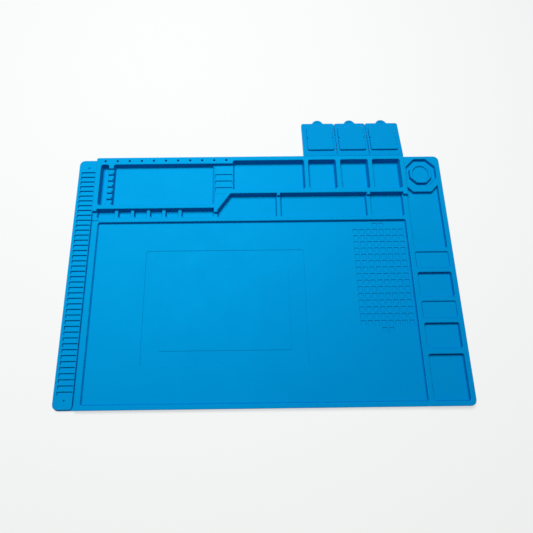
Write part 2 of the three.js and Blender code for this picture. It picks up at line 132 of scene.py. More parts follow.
BLOCK = {"left": -201.8, "right": 180.0, "left_front": 80.5, "right_front": 99.4, "stub_front": 96.2}
SPUR = (-196.5, 77.8)
SLANT = {"tip_left": -55.8, "tip_front": 75.0, "left": -51.4, "front": 77.6, "right": -35.8}
SLOT = (-196.0, -185.9, 85.6, 140.5)
BAY = (-180.2, -56.4, 85.6, 140.5)
NOTCH = {"back": 135.0, "pitch": 8.25, "count": 6, "length": 5.2, "floor": 8.0}
REST_SLANT = ((-52.2, 85.6), (-38.6, 105.0))
REST_GROOVE = {
    "left": -54.6,
    "right": -33.8,
    "back": 128.0,
    "pitch": 9.0,
    "length": 5.4,
    "depth": 1.4,
    "count": 3,
}
FAINT_GROOVE_RIGHT = -43.0
BIN_FRONT, BIN_BACK = 105.0, 144.6
OPEN_BIN = (-33.0, 55.6)
LIDDED_BINS = [(60.7, 95.1), (100.6, 135.1), (140.2, 174.9)]
BIT_HOLE = {"x": -191.0, "pitch": 15.0, "count": 11, "y": 145.3, "radius": 1.35, "depth": 6.0}

SIDE = (180.2, 219.6)
SIDE_BINS = [
    (-145.0, -95.4, FLOOR),
    (-89.6, -61.0, FLOOR),
    (-56.0, -36.3, SHELF),
    (-31.4, -2.0, FLOOR),
    (3.0, 23.0, SHELF),
]
LONG_BIN = {"front": 27.6, "back": 101.0, "left": 188.6, "right": 210.4}
CUP = {"x": 201.3, "y": 127.9, "flats": 36.6}
BOSS = {"x": 200.2, "y": 126.3, "flats": 26.0, "dish": 19.5, "depth": 1.7}

HINGE_Y, HINGE_Z, DROOP = 150.4, 10.7, math.radians(8.2)
LID_NAMES = ("left", "middle", "right")
LID_EDGES = (55.5, 98.0, 138.1, 180.0)
LID = {"start": 0.9, "length": 52.0, "thick": 2.2, "corner": 2.6, "gap": 0.22}
PLUG = {"near": 7.0, "far": 44.9, "width": 33.6, "height": 2.7, "notch": 1.5}
TAB = {"radius": 6.7, "centre": 50.5}
WEB = {"near": -0.7, "far": 1.7, "top": -0.15, "thick": 0.7, "gap": 0.15}


# ---------------------------------------------------------------- outlines and moulded forms


def rectangle(left, right, front, back, corner):
    """Corners of a plan rectangle, counter-clockwise, each as x, y and corner radius."""
    return [(left, front, corner), (right, front, corner), (right, back, corner), (left, back, corner)]


def octagon(x, y, flats, corner):
    reach = flats / 2 / math.cos(math.pi / 8)
    turns = [(i + 0.5) * math.pi / 4 for i in range(8)]
    return [(x + reach * math.cos(t), y + reach * math.sin(t), corner) for t in turns]


def grown(corners, distance):
    """The outline with every edge moved outwards and its rounded corners widened to match."""
    points = [Vector(c[:2]) for c in corners]
    moved = []
    for i, corner in enumerate(points):
        before = (corner - points[i - 1]).normalized()
        after = (points[(i + 1) % len(points)] - corner).normalized()
        out_before = Vector((before.y, -before.x))
        out_after = Vector((after.y, -after.x))
        mitre = (out_before + out_after) / (1 + out_before.dot(out_after))
        radius = corners[i][2]
        turns_left = before.cross(after) > 0
        wider = radius + (distance if turns_left else -distance)
        moved.append((*(corner + mitre * distance), max(wider, 0.0) if radius else 0.0))
    return moved


def flat_outline(bm, corners, z, faces_up):
    """One flat face on the outline, with its corners rounded by a vertex bevel."""
    verts = [bm.verts.new((x, y, z)) for x, y, _ in corners]
    bm.faces.new(verts)
    for radius in sorted({c[2] for c in corners if c[2] > 0}):
        picked = [v for v, corner in zip(verts, corners) if corner[2] == radius]
        bmesh.ops.bevel(
            bm,
            geom=picked,
            offset=radius,
            offset_type="OFFSET",
            segments=CORNER_STEPS,
            profile=0.5,
            affect="VERTICES",
            material=-1,
        )
    face = max(bm.faces, key=lambda f: f.calc_area())
    face.normal_update()
    if (face.normal.z > 0) != faces_up:
        bmesh.ops.reverse_faces(bm, faces=[face])
        face.normal_update()
    return face


def stepped(bm, face, steps):
    """Insets a face again and again: each step goes in by one amount and along its normal by another."""
    for inward, along in steps:
        bmesh.ops.inset_individual(
            bm, faces=[face], thickness=inward, depth=along, use_even_offset=True, use_interpolate=False
        )


def arc_steps(radius):
    """Inward and downward steps round an edge, from flat to as steep as the walls."""
    turns = [math.radians(STEEP * i / ROUND_STEPS) for i in range(ROUND_STEPS + 1)]
    places = [(radius * math.sin(t), radius * (1 - math.cos(t))) for t in turns]
    return [(b[0] - a[0], b[1] - a[1]) for a, b in zip(places, places[1:])]


def pocket(corners, top, floor, lip=0.6, fillet=1.0, draft=DRAFT):
    """Cutter for a moulded hollow: rounded lip, sloping wall and a fillet round its floor."""
    bm = bmesh.new()
    outline = grown(corners, lip)
    face = flat_outline(bm, outline, top, faces_up=True)  # the extrusion turns it downwards
    lifted = bmesh.ops.extrude_face_region(bm, geom=[face], use_keep_orig=True)
    cap = [g for g in lifted["geom"] if isinstance(g, bmesh.types.BMVert)]
    bmesh.ops.translate(bm, verts=cap, vec=(0, 0, RISE))
    wall = top - floor - (lip + fillet) * ARC_HEIGHT
    steps = arc_steps(lip) if lip else []
    steps += [(wall * draft, wall)]
    steps += list(reversed(arc_steps(fillet))) if fillet else []
    stepped(bm, face, steps)
    return closed(bm)


def plateau(corners, bottom, top, rounding=0.7, draft=DRAFT):
    """Raised form with sloping sides and a rounded top edge, drawn by the outline of its top."""
    bm = bmesh.new()
    height = top - bottom - rounding * ARC_HEIGHT
    outline = grown(corners, height * draft + rounding * draft * 0.4)
    face = flat_outline(bm, outline, bottom, faces_up=False)  # the extrusion turns it upwards
    bmesh.ops.extrude_face_region(bm, geom=[face], use_keep_orig=True)
    steps = [(height * draft, height)]
    steps += list(reversed(arc_steps(rounding)))
    stepped(bm, face, steps)
    return closed(bm)


def round_pocket(x, y, radius, top, floor, lip, sides=20):
    """Cutter for a round hole or dish."""
    bm = bmesh.new()
    made = bmesh.ops.create_circle(bm, cap_ends=True, segments=sides, radius=radius + lip)
    bmesh.ops.translate(bm, verts=made["verts"], vec=(x, y, top))
    face = bm.faces[:][0]
    face.normal_update()
    if face.normal.z < 0:
        bmesh.ops.reverse_faces(bm, faces=[face])
    lifted = bmesh.ops.extrude_face_region(bm, geom=[face], use_keep_orig=True)
    bmesh.ops.translate(
        bm, verts=[g for g in lifted["geom"] if isinstance(g, bmesh.types.BMVert)], vec=(0, 0, RISE)
    )
    fillet = min(0.5, radius * 0.4)
    wall = top - floor - (lip + fillet) * ARC_HEIGHT
    stepped(bm, face, arc_steps(lip) + [(0.02, wall)] + list(reversed(arc_steps(fillet))))
    return closed(bm)


def closed(bm):
    """The finished form with every face turned outwards."""
    bmesh.ops.remove_doubles(bm, verts=bm.verts, dist=1e-5)
    bmesh.ops.recalc_face_normals(bm, faces=bm.faces)
    if bm.calc_volume(signed=True) < 0:
        bmesh.ops.reverse_faces(bm, faces=bm.faces)
    return bm


def merged(parts):
    """Several bmeshes that don't touch, as one."""
    whole = bmesh.new()
    for part in parts:
        mesh = bpy.data.meshes.new("part")
        part.to_mesh(mesh)
        whole.from_mesh(mesh)
        bpy.data.meshes.remove(mesh)
        part.free()
    return whole


def solid_object(bm, name):
    mesh = bpy.data.meshes.new(name)
    bm.to_mesh(mesh)
    bm.free()
    obj = bpy.data.objects.new(name, mesh)
    bpy.context.scene.collection.objects.link(obj)
    return obj


def combine(obj, bm, operation):
    """Joins, cuts or clips a moulded form with another, and leaves the result in its mesh."""
    other = solid_object(bm, "tool")
    cut = obj.modifiers.new("combine", "BOOLEAN")
    cut.operation = operation
    cut.solver = "MANIFOLD"
    cut.object = other
    graph = bpy.context.evaluated_depsgraph_get()
    mesh = bpy.data.meshes.new_from_object(obj.evaluated_get(graph))
    obj.modifiers.clear()
    old, tool = obj.data, other.data
    obj.data = mesh
    bpy.data.objects.remove(other)
    bpy.data.meshes.remove(old)
    bpy.data.meshes.remove(tool)


def mark_relief(bm):
    """Notes on each face whether it is a rounded outer edge (1), an inner corner or a wall (below 0);
    the material paints a highlight on the first and shade on the others.
    """
    relief = bm.faces.layers.float.new("relief")
    for face in bm.faces:
        level = face.normal.z
        if level >= LEVEL_FACE or level < 0:
            continue
        beside = [other for edge in face.edges for other in edge.link_faces]
        flatter = [other for other in beside if other.normal.z > level + 0.02]
        here = face.calc_center_median().z
        rise = max((other.calc_center_median().z - here for other in flatter), key=abs, default=0)
        if level < STEEP_FACE:
            face[relief] = WALL_SHADE
        else:
            face[relief] = 1.0 if rise > 0 else CORNER_SHADE


def finished(obj, name, material, body, nodes, place=None):
    """Cleans a moulded form, turns it into metres, smooths it and puts it on its body."""
    bm = bmesh.new()
    bm.from_mesh(obj.data)
    bmesh.ops.remove_doubles(bm, verts=bm.verts, dist=2e-3)
    bmesh.ops.dissolve_degenerate(bm, edges=bm.edges, dist=1e-3)
    bmesh.ops.scale(bm, verts=bm.verts, vec=(MM, MM, MM))
    bmesh.ops.recalc_face_normals(bm, faces=bm.faces)
    bm.normal_update()
    mark_relief(bm)
    for face in bm.faces:
        face.smooth = abs(face.normal.z) < LEVEL_FACE
    for edge in bm.edges:
        if len(edge.link_faces) == 2 and edge.calc_face_angle(0) > SHARP:
            edge.smooth = False
    if place:
        bmesh.ops.transform(bm, verts=bm.verts, matrix=place)
    bm.to_mesh(obj.data)
    bm.free()
    obj.name = name
    obj.data.name = name
    obj.data.materials.clear()
    obj.data.materials.append(material)
    even_walls = obj.modifiers.new("even_walls", "WEIGHTED_NORMAL")
    even_walls.keep_sharp = True
    if body:
        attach(obj, body)
    if nodes:
        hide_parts(*nodes)
    return obj


# ---------------------------------------------------------------- the moulded mat


def row_backs(row):
    """Back edges of a row of notches or grooves, from the back of the bay to its front."""
    return [row["back"] - i * row["pitch"] for i in range(row["count"])]


def mat_outline():
    return rectangle(LEFT, RIGHT, FRONT, BACK, MAT_CORNER)


def mid_outline():
    """The rails round the bins, which stand between the low rim and the tall back block."""
    return [
        (BODY_LEFT, LOW_RIM_BACK, 0),
        (WORK[0] + 1.5, LOW_RIM_BACK, 0),
        (WORK[0] + 1.5, WORK[3] - 8, 0),
        (WORK[1] - 4, WORK[3] - 8, 0),
        (WORK[1] - 4, WORK[2] + 2.5, 0),
        (LOW_RIM_RIGHT, WORK[2] + 2.5, 0),
        (LOW_RIM_RIGHT, FRONT, 0),
        (RIGHT, FRONT, MAT_CORNER),
        (RIGHT, BACK, MAT_CORNER),
        (BODY_LEFT, BACK, 1.5),
    ]


def block_outline():
    """The tall back block, whose front edge steps back to the right of the slanted rail."""
    front, back_step, stub = BLOCK["left_front"], BLOCK["right_front"], BLOCK["stub_front"]
    corners = [
        (BLOCK["left"], SPUR[1], 1.0),
        (SPUR[0], SPUR[1], 1.0),
        (SPUR[0], front, 0.8),
        (SLANT["tip_left"], front, 0.8),
        (SLANT["tip_left"], SLANT["tip_front"], 1.0),
        (SLANT["left"], SLANT["tip_front"], 1.0),
        (SLANT["left"], SLANT["front"], 0.8),
        (SLANT["right"], back_step, 1.5),
    ]
    for left, right in zip(WIDE_BINS, WIDE_BINS[1:]):
        inner, outer = left[1] + 0.6, right[0] - 0.6
        corners += [(inner, back_step, 0.8), (inner, stub, 1.0)]
        corners += [(outer, stub, 1.0), (outer, back_step, 0.8)]
    last = WIDE_BINS[-1][1] + 0.6
    corners += [
        (last, back_step, 0.8),
        (last, stub, 1.0),
        (BLOCK["right"], stub, 1.0),
        (BLOCK["right"], BACK, 0),
        (BLOCK["left"], BACK, 2.0),
    ]
    return corners


def lower_hollows():
    """Work surface, both front rows of bins, the right-hand strip and the cup seat."""
    hollows = [pocket(rectangle(*WORK, 2.5), MID, WORK_FLOOR, lip=0.7, fillet=1.2)]
    for left, right in SMALL_BINS:
        hollows.append(pocket(rectangle(left, right, SMALL_FRONT, SMALL_CUT_BACK, 2.5), MID, FLOOR))
    for left, right in WIDE_BINS:
        hollows.append(pocket(rectangle(left, right, WIDE_FRONT, WIDE_CUT_BACK, 2.5), MID, FLOOR))
    for front, back, floor in SIDE_BINS:
        hollows.append(pocket(rectangle(*SIDE, front, back, 2.5), MID, floor))
    left, right = SIDE
    side_back = LONG_BIN["back"] + LONG_BIN["left"] - left
    long_bin = [
        (left, LONG_BIN["front"], 2.5),
        (right, LONG_BIN["front"], 2.5),
        (right, LONG_BIN["back"] + right - LONG_BIN["right"], 0.6),
        (LONG_BIN["right"], LONG_BIN["back"], 0.8),
        (LONG_BIN["left"], LONG_BIN["back"], 0.8),
        (left, side_back, 0.6),
    ]
    cup = pocket(octagon(CUP["x"], CUP["y"], CUP["flats"], 0.9), MID, FLOOR, fillet=0.5)
    return [merged(hollows), pocket(long_bin, MID, FLOOR, fillet=0.5), cup]


def low_lip():
    """Rounds the low rim's inner edge, which stands lower than the rails behind and to its right."""
    left, right, front, back = WORK
    outline = rectangle(left, right - 3, front, back - 3, 2.5)
    return pocket(outline, LOW, WORK_FLOOR + 1.2, lip=0.7, fillet=0)


def grid_cells():
    """Small square wells for screws. The middle columns are one cell longer at both ends."""
    cells = []
    for column in range(GRID["columns"]):
        extra = 1 if column in GRID_LONG_COLUMNS else 0
        for row in range(-extra, GRID["rows"] + extra):
            left = GRID["left"] + column * GRID["pitch_x"]
            back = GRID["back"] - row * GRID["pitch_y"]
            outline = rectangle(left, left + GRID["cell"], back - GRID["cell"], back, 0.6)
            cells.append(pocket(outline, WORK_FLOOR, FLOOR, lip=0.3, fillet=0.4, draft=0.1))
    return merged(cells)


def saddle_and_grooves():
    """Notches of the tool saddle, and the grooves and edge line of the tool rest."""
    left, right = SLOT[1] - 3, BAY[0] + 3
    length = NOTCH["length"]
    forms = [
        pocket(rectangle(left, right, back - length, back, 1.5), TALL, NOTCH["floor"], 0.45, 0.7)
        for back in row_backs(NOTCH)
    ]
    left, right, length = REST_GROOVE["left"], REST_GROOVE["right"], REST_GROOVE["length"]
    floor = REST - REST_GROOVE["depth"]
    forms += [
        pocket(rectangle(left, right, back - length, back, 0.7), REST, floor, lip=0.3, fillet=0.4)
        for back in row_backs(REST_GROOVE)
    ]
    edge_line = rectangle(BAY[1] + 0.7, BAY[1] + 1.3, BAY[2] + 3, BAY[3] - 1.5, 0.2)
    last = row_backs(REST_GROOVE)[-1] - REST_GROOVE["pitch"]
    faint_groove = rectangle(left + 1, FAINT_GROOVE_RIGHT, last - length + 2, last, 0.5)
    forms.append(pocket(edge_line, REST, REST - 0.6, 0.15, 0.1))
    forms.append(pocket(faint_groove, REST, REST - 0.3, 0.15, 0.1))
    return forms


def rest_gaps():
    """Low gaps that open the rest to the tool bay on its left and to the open bin on its right."""
    slope = (TALL - REST) * DRAFT
    to_bay = rectangle(BAY[0] + 20, BAY[1] - slope, BAY[2] + 2.6, BAY[3] - 2.6, 1.0)
    to_bin = rectangle(OPEN_BIN[0] + slope, OPEN_BIN[1] - 20, BIN_FRONT + 2.6, BAY[3] - 2.0, 1.0)
    return [pocket(gap, REST, REST_GAP, 0.6, 0) for gap in (to_bay, to_bin)]


def block_hollows():
    """Slot, tool bay, rest and bins that open in the top of the back block."""
    rest = [
        (BAY[1] - 3.5, BAY[2], 0.8),
        (*REST_SLANT[0], 1.5),
        (*REST_SLANT[1], 1.0),
        (OPEN_BIN[0] + 3.5, BIN_FRONT, 0.8),
        (OPEN_BIN[0] + 3.5, BAY[3], 0.8),
        (BAY[1] - 3.5, BAY[3], 0.8),
    ]
    bins = [OPEN_BIN, *LIDDED_BINS]
    deep = [
        pocket(rectangle(*SLOT, 3.2), TALL, FLOOR, fillet=1.7),
        pocket(rectangle(*BAY, 2.5), TALL, BAY_FLOOR),
    ]
    deep += [pocket(rectangle(*sides, BIN_FRONT, BIN_BACK, 2.5), TALL, FLOOR) for sides in bins]
    groups = [deep, [pocket(rest, TALL, REST, fillet=0.5)], saddle_and_grooves(), rest_gaps()]
    hole_floor = TALL - BIT_HOLE["depth"]
    groups.append(
        [
            round_pocket(x, BIT_HOLE["y"], BIT_HOLE["radius"], TALL, hole_floor, 0.25)
            for x in (BIT_HOLE["x"] + i * BIT_HOLE["pitch"] for i in range(BIT_HOLE["count"]))
        ]
    )
    return [merged(group) for group in groups]


def mat_moulding(material):
    """The base sheet and all that stands on it, except the tool rack and the cup seat's boss."""
    obj = solid_object(plateau(mat_outline(), 0, FLOOR, rounding=0.5, draft=0), "mat_moulding")
    low = [
        (BODY_LEFT, FRONT, 1.5),
        (RIGHT, FRONT, MAT_CORNER),
        (RIGHT, BACK, MAT_CORNER),
        (BODY_LEFT, BACK, 1.5),
    ]
    combine(obj, plateau(low, 0.6, LOW), "UNION")
    combine(obj, plateau(mid_outline(), 0.7, MID), "UNION")
    for hollows in lower_hollows():
        combine(obj, hollows, "DIFFERENCE")
    combine(obj, low_lip(), "DIFFERENCE")
    groove = rectangle(RACK_RIGHT - 0.3, BODY_LEFT - 0.2, FRONT + 4, SPUR[1], 0.6)
    combine(obj, pocket(groove, FLOOR, FLOOR - 1.0, lip=0.1, fillet=0.5), "DIFFERENCE")
    combine(obj, pocket(rectangle(*CHANNEL_OUTER, 3.0), WORK_FLOOR, CHANNEL, 0.2, 0.15), "DIFFERENCE")
    combine(obj, plateau(rectangle(*CHANNEL_INNER, 2.0), 0.8, WORK_FLOOR, 0.2, 0.05), "UNION")
    combine(obj, grid_cells(), "DIFFERENCE")
    combine(obj, plateau(block_outline(), 0.9, TALL), "UNION")
    for hollows in block_hollows():
        combine(obj, hollows, "DIFFERENCE")
    envelope = plateau(mat_outline(), 0, TALL + 2, rounding=0.1, draft=0)
    combine(obj, envelope, "INTERSECT")
    own = {"tool_rack", "cup_boss", "lid_left", "lid_middle", "lid_right"}
    nodes = [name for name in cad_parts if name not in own]
    return finished(obj, "mat_moulding", material, "mat", nodes)


def tool_rack_strip(material):
    """Ladder of slots along the left edge, parted from the rest by a groove."""
    outline = [
        (LEFT, FRONT + 1.2, MAT_CORNER - 1),
        (RACK_RIGHT, FRONT + 1.2, 3.5),
        (RACK_RIGHT, BACK, 1.0),
        (LEFT, BACK, MAT_CORNER),
    ]
    obj = solid_object(plateau(outline, 1.2, RACK_TOP, rounding=0.5, draft=0.0), "tool_rack_strip")
    slots = []
    for i in range(RACK_SLOT["count"]):
        back = RACK_SLOT["back"] - i * RACK_SLOT["pitch"]
        front = back - RACK_SLOT["length"]
        outline = rectangle(RACK_SLOT["left"], RACK_SLOT["right"], front, back, 0.5)
        slots.append(pocket(outline, RACK_TOP, FLOOR + SLOT_LIFT, 0.3, 0.3, 0.06))
    slots += [round_pocket(x, y, 1.3, RACK_TOP, RACK_TOP - 1.4, 0.3) for x, y in RACK_DIMPLES]
    combine(obj, merged(slots), "DIFFERENCE")
    return finished(obj, "tool_rack_strip", material, "mat", ["tool_rack"])


def cup_boss(material):
    """Octagonal boss in the cup seat, with a shallow dish in its top."""
    form = plateau(octagon(BOSS["x"], BOSS["y"], BOSS["flats"], 0.8), 1.6, MID, 0.6)
    obj = solid_object(form, "cup_boss_ring")
    dish = pocket(octagon(BOSS["x"], BOSS["y"], BOSS["dish"], 1.6), MID, MID - BOSS["depth"], 0.5, 0.6)
    combine(obj, dish, "DIFFERENCE")
    return finished(obj, "cup_boss_ring", material, "mat", ["cup_boss"])


# ---------------------------------------------------------------- lids and their webs


def lid_frame():
    """Where a lid lies when it is open: it droops from its fold line. In metres."""
    return Matrix.Translation((0, HINGE_Y * MM, HINGE_Z * MM)) @ Matrix.Rotation(-DROOP, 4, "X")


def lid_span(index):
    """The left and right side of a lid, with half a slit left beside each neighbour."""
    left = LID_EDGES[index] + (LID["gap"] if index else 0)
    right = LID_EDGES[index + 1] - (LID["gap"] if index < 2 else 0)
    return left, right


def lid(index, material):
    """Soft sheet with a raised plug that fits the bin below it, and a finger tab on its free edge."""
    left, right = lid_span(index)
    middle = (left + right) / 2
    bottom = -LID["thick"]
    far = LID["length"]
    outline = [
        (left, LID["start"], 0),
        (right, LID["start"], 0),
        (right, far, LID["corner"]),
        (middle + TAB["radius"], far, 1.2),
        (middle + TAB["radius"] * 0.92, TAB["centre"] + 3.4, 1.5),
        (middle + TAB["radius"] * 0.42, TAB["centre"] + TAB["radius"], 1.9),
        (middle - TAB["radius"] * 0.42, TAB["centre"] + TAB["radius"], 1.9),
        (middle - TAB["radius"] * 0.92, TAB["centre"] + 3.4, 1.5),
        (middle - TAB["radius"], far, 1.2),
        (left, far, LID["corner"]),
    ]
    obj = solid_object(plateau(outline, bottom, 0, rounding=0.35, draft=0), "lid")
    bin_left, bin_right = LIDDED_BINS[index]
    plug_middle = (bin_left + bin_right) / 2
    half = PLUG["width"] / 2
    plug = rectangle(plug_middle - half, plug_middle + half, PLUG["near"], PLUG["far"], 2.4)
    inset = PLUG["height"] * DRAFT
    combine(obj, plateau(grown(plug, -inset), -0.8, PLUG["height"], 0.6), "UNION")
    notch_y = (PLUG["near"] + PLUG["far"]) / 2
    notches = [
        round_pocket(plug_middle + side * half, notch_y, PLUG["notch"], PLUG["height"], 0.05, 0.2, 16)
        for side in (-1, 1)
    ]
    combine(obj, merged(notches), "DIFFERENCE")
    grips = []
    for i in range(3):
        near = far + 1.3 * i
        line = rectangle(middle - 3.4 + i, middle + 3.4 - i, near + 0.6, near + 1.1, 0.2)
        grips.append(pocket(line, 0, -0.3, 0.15, 0))
    combine(obj, merged(grips), "DIFFERENCE")
    name = LID_NAMES[index]
    body = f"{name}_lid"
    finished(obj, f"{name}_lid_panel", material, body, [f"lid_{name}"], place=lid_frame())
    slits = ([left] if index else []) + ([right] if index < 2 else [])
    relief = obj.data.attributes["relief"].data
    for polygon in obj.data.polygons:  # painted shade on the sides along the narrow slits
        if any(abs(polygon.center.x - x * MM) < 0.36 * MM for x in slits):
            relief[polygon.index].value = CORNER_SHADE
    return obj


def hinge_web(index, material):
    """Thin web of silicone from the block's back edge to the lid, where the lid folds."""
    name = LID_NAMES[index]
    left = LID_EDGES[index] + (WEB["gap"] if index else 0)
    right = LID_EDGES[index + 1] - (WEB["gap"] if index < 2 else 0)
    near, far = WEB["near"], WEB["far"]
    bm = bmesh.new()
    corners = [(left, near), (right, near), (right, far), (left, far)]
    face = bm.faces.new([bm.verts.new((x, y, -0.1)) for x, y in corners])
    along = [e for e in face.edges if abs(e.verts[0].co.y - e.verts[1].co.y) > 1]
    bmesh.ops.subdivide_edges(bm, edges=along, cuts=11, use_grid_fill=True)
    across = [e for e in bm.edges if abs(e.verts[0].co.x - e.verts[1].co.x) > 1]
    bmesh.ops.subdivide_edges(bm, edges=across, cuts=3, use_grid_fill=True)
    bmesh.ops.solidify(bm, geom=bm.faces[:], thickness=WEB["thick"])
    bmesh.ops.recalc_face_normals(bm, faces=bm.faces)
    high = max(v.co.z for v in bm.verts)
    bmesh.ops.translate(bm, verts=bm.verts, vec=(0, 0, WEB["top"] - high))
    obj = solid_object(bm, "web")
    finished(obj, f"{name}_hinge_web", material, None, [], place=lid_frame())
    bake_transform(obj)
    return obj


# ---------------------------------------------------------------- silicone


def new_group(name, inputs, outputs):
    """An empty node group with named sockets, and its input and output nodes."""
    group = bpy.data.node_groups.new(name, "ShaderNodeTree")
    for label, kind, default in inputs:
        socket = group.interface.new_socket(label, in_out="INPUT", socket_type=kind)
        if default is not None:
            socket.default_value = default
    for label, kind in outputs:
        group.interface.new_socket(label, in_out="OUTPUT", socket_type=kind)
    return group, group.nodes.new("NodeGroupInput"), group.nodes.new("NodeGroupOutput")


def noise(tree, coordinates, scale, detail, roughness=0.5):
    node = tree.nodes.new("ShaderNodeTexNoise")
    node.inputs["Scale"].default_value = scale
    node.inputs["Detail"].default_value = detail
    node.inputs["Roughness"].default_value = roughness
    tree.links.new(coordinates, node.inputs["Vector"])
    return node.outputs["Fac"]


def spread(tree, value, low, high, to_low, to_high):
    node = tree.nodes.new("ShaderNodeMapRange")
    limits = {"From Min": low, "From Max": high, "To Min": to_low, "To Max": to_high}
    for socket, number in limits.items():
        node.inputs[socket].default_value = number
    tree.links.new(value, node.inputs["Value"])
    return node.outputs["Result"]


def calculate(tree, operation, a, b):
    node = tree.nodes.new("ShaderNodeMath")
    node.operation = operation
    for socket, value in zip(node.inputs, (a, b)):
        if isinstance(value, (int, float)):
            socket.default_value = value
        else:
            tree.links.new(value, socket)
    return node.outputs[0]


def blended(tree, factor, a, b):
    node = tree.nodes.new("ShaderNodeMix")
    node.data_type = "RGBA"
    for label, value in (("Factor", factor), ("A", a), ("B", b)):
        socket = [s for s in node.inputs if s.name == label and s.enabled][0]
        if isinstance(value, (int, float)):
            socket.default_value = value
        elif isinstance(value, tuple):
            socket.default_value = (*value, 1)
        else:
            tree.links.new(value, socket)
    return [s for s in node.outputs if s.enabled][0]


def tint_and_painted_falloff_group():
    """Colour of the silicone's dye: slow random drifts of tone, painted shade that deepens the colour
    towards the front and the right, and a little dust.
    """
    group, given, result = new_group(
        "tint_and_painted_falloff",
        [
            ("Vector", "NodeSocketVector", None),
            ("Dye", "NodeSocketColor", None),
            ("Deep", "NodeSocketColor", None),
            ("Dust", "NodeSocketColor", None),
            ("Drift", "NodeSocketFloat", 0.25),
            ("Slope", "NodeSocketFloat", 0.5),
            ("Dustiness", "NodeSocketFloat", 0.06),
        ],
        [("Color", "NodeSocketColor")],
    )
    place = given.outputs["Vector"]
    clouds = spread(group, noise(group, place, 9, 3), 0.3, 0.7, 0, 1)
    clouds = calculate(group, "MULTIPLY", clouds, given.outputs["Drift"])
    # Painted shade: a straight ramp that deepens the colour towards the front and the right of the mat,
    # where less lamp light falls.
    axes = group.nodes.new("ShaderNodeSeparateXYZ")
    group.links.new(place, axes.inputs["Vector"])
    across = calculate(group, "MULTIPLY", axes.outputs["X"], 0.8)
    along = calculate(group, "MULTIPLY", axes.outputs["Y"], -1.6)
    slope = spread(group, calculate(group, "ADD", across, along), -0.26, 0.26, 0, 1)
    slope = calculate(group, "MULTIPLY", slope, given.outputs["Slope"])
    shade = calculate(group, "ADD", clouds, slope)
    dye_with_painted_shade = blended(group, shade, given.outputs["Dye"], given.outputs["Deep"])
    specks = spread(group, noise(group, place, 900, 2, 0.6), 0.62, 0.74, 0, 1)
    patches = spread(group, noise(group, place, 26, 4, 0.6), 0.45, 0.75, 0, 1)
    dust = calculate(group, "MULTIPLY", specks, patches)
    dust = calculate(group, "MULTIPLY", dust, given.outputs["Dustiness"])
    dusty = blended(group, dust, dye_with_painted_shade, given.outputs["Dust"])
    group.links.new(dusty, result.inputs["Color"])
    return group


def edge_light_group():
    """Masks of the painted highlight on rounded outer edges and of the painted shade on walls and in
    inner corners.
    """
    group, given, result = new_group(
        "edge_light",
        [("Strength", "NodeSocketFloat", 0.5), ("Depth", "NodeSocketFloat", 0.5)],
        [("Painted Highlight", "NodeSocketFloat"), ("Painted Shade", "NodeSocketFloat")],
    )
    relief = group.nodes.new("ShaderNodeAttribute")
    relief.attribute_name = "relief"
    edge = spread(group, relief.outputs["Fac"], 0, 1, 0, 1)
    shade_mask = spread(group, relief.outputs["Fac"], 0, -1, 0, 1)
    mask = calculate(group, "MULTIPLY", edge, given.outputs["Strength"])
    group.links.new(mask, result.inputs["Painted Highlight"])
    hollow = calculate(group, "MULTIPLY", shade_mask, given.outputs["Depth"])
    group.links.new(hollow, result.inputs["Painted Shade"])
    return group


def satin_skin_group():
    """Height and gloss of a satin moulded skin: fine texture, faint flow lines and handling marks."""
    group, given, result = new_group(
        "satin_skin",
        [
            ("Vector", "NodeSocketVector", None),
            ("Grain", "NodeSocketFloat", 1.0),
            ("Gloss Drift", "NodeSocketFloat", 0.08),
            ("Base Gloss", "NodeSocketFloat", 0.5),
        ],
        [("Height", "NodeSocketFloat"), ("Roughness", "NodeSocketFloat")],
    )
    place = given.outputs["Vector"]
    spark = noise(group, place, 1700, 2, 0.65)
    ripple = noise(group, place, 60, 3, 0.5)
    stretch = group.nodes.new("ShaderNodeMapping")
    stretch.inputs["Scale"].default_value = (6, 120, 120)
    group.links.new(place, stretch.inputs["Vector"])
    flow = noise(group, stretch.outputs["Vector"], 1.0, 2)
    height = calculate(group, "MULTIPLY", spark, given.outputs["Grain"])
    height = calculate(group, "ADD", height, calculate(group, "MULTIPLY", ripple, 0.9))
    height = calculate(group, "ADD", height, calculate(group, "MULTIPLY", flow, 0.35))
    group.links.new(height, result.inputs["Height"])
    marks = spread(group, noise(group, place, 34, 5, 0.65), 0.3, 0.7, -1, 1)
    drift = calculate(group, "MULTIPLY", marks, given.outputs["Gloss Drift"])
    rough = calculate(group, "ADD", drift, given.outputs["Base Gloss"])
    group.links.new(rough, result.inputs["Roughness"])
    return group


TINT_AND_FALLOFF_GROUP = tint_and_painted_falloff_group()
EDGE_GROUP = edge_light_group()
SKIN_GROUP = satin_skin_group()


# Deep blue takes the random tone drift and the painted shade towards the front and right; pale blue is
# the painted highlight on rounded edges; shade blue is the painted shade on walls and in inner corners;
# dust blue is real dust.
DEEP_BLUE = (0.0, 0.21, 0.52)
HIGHLIGHT_BLUE = (0.0, 0.37, 0.74)
SHADE_BLUE = (0.0, 0.13, 0.41)
DUST_BLUE = (0.1, 0.5, 0.85)


def placed(tree, group):
    node = tree.nodes.new("ShaderNodeGroup")
    node.node_tree = group
    return node


